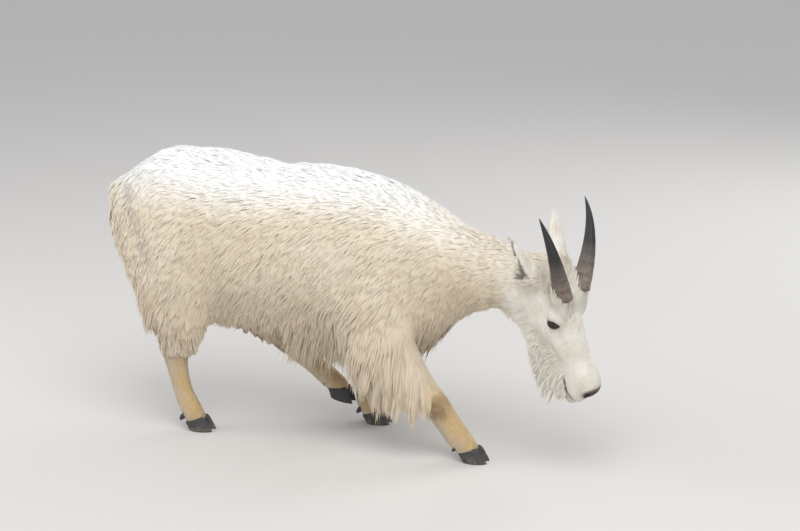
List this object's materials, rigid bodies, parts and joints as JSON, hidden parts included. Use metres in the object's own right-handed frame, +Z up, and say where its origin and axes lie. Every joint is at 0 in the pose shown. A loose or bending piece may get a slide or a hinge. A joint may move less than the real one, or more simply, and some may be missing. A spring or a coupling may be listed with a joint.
{
  "type": "mountain goat model",
  "caption": "Still, life-size mountain goat walking with its head lowered to graze, with short black horns, split hooves and a long pale coat on belly and legs.",
  "frame": {"origin": "on the floor, below the middle of the model's bounding box", "axes": "+X from rump to head, the way the animal walks; +Y to the animal's left; +Z up"},
  "size_m": [1.4985, 0.4446, 0.8184],
  "materials": {
    "coat": "long soft matte hair, white along the back and cream on the flanks",
    "leg_coat": "short matte hair, stained tan",
    "horn": "satin keratin, ringed and brown-grey at the root, black to the tip",
    "hoof": "dull grey-black horn with dust in its grain",
    "eye": "wet gloss"
  },
  "bodies": {
    "root": {"torso": "coat", "neck": "coat", "head": "coat", "tail": "coat", "ear_right": "coat", "ear_left": "coat", "eye_right": "eye", "eye_left": "eye", "horn_right": "horn", "horn_left": "horn", "fore_right_upper": "coat", "fore_right_lower": "leg_coat", "claw_fore_right_left": "hoof", "dewclaw_fore_right_left": "hoof", "claw_fore_right_right": "hoof", "dewclaw_fore_right_right": "hoof", "fore_left_upper": "coat", "fore_left_lower": "leg_coat", "claw_fore_left_left": "hoof", "dewclaw_fore_left_left": "hoof", "claw_fore_left_right": "hoof", "dewclaw_fore_left_right": "hoof", "hind_right_upper": "coat", "hind_right_lower": "leg_coat", "claw_hind_right_left": "hoof", "dewclaw_hind_right_left": "hoof", "claw_hind_right_right": "hoof", "dewclaw_hind_right_right": "hoof", "hind_left_upper": "coat", "hind_left_lower": "leg_coat", "claw_hind_left_left": "hoof", "dewclaw_hind_left_left": "hoof", "claw_hind_left_right": "hoof", "dewclaw_hind_left_right": "hoof"}
  },
  "joints": []
}
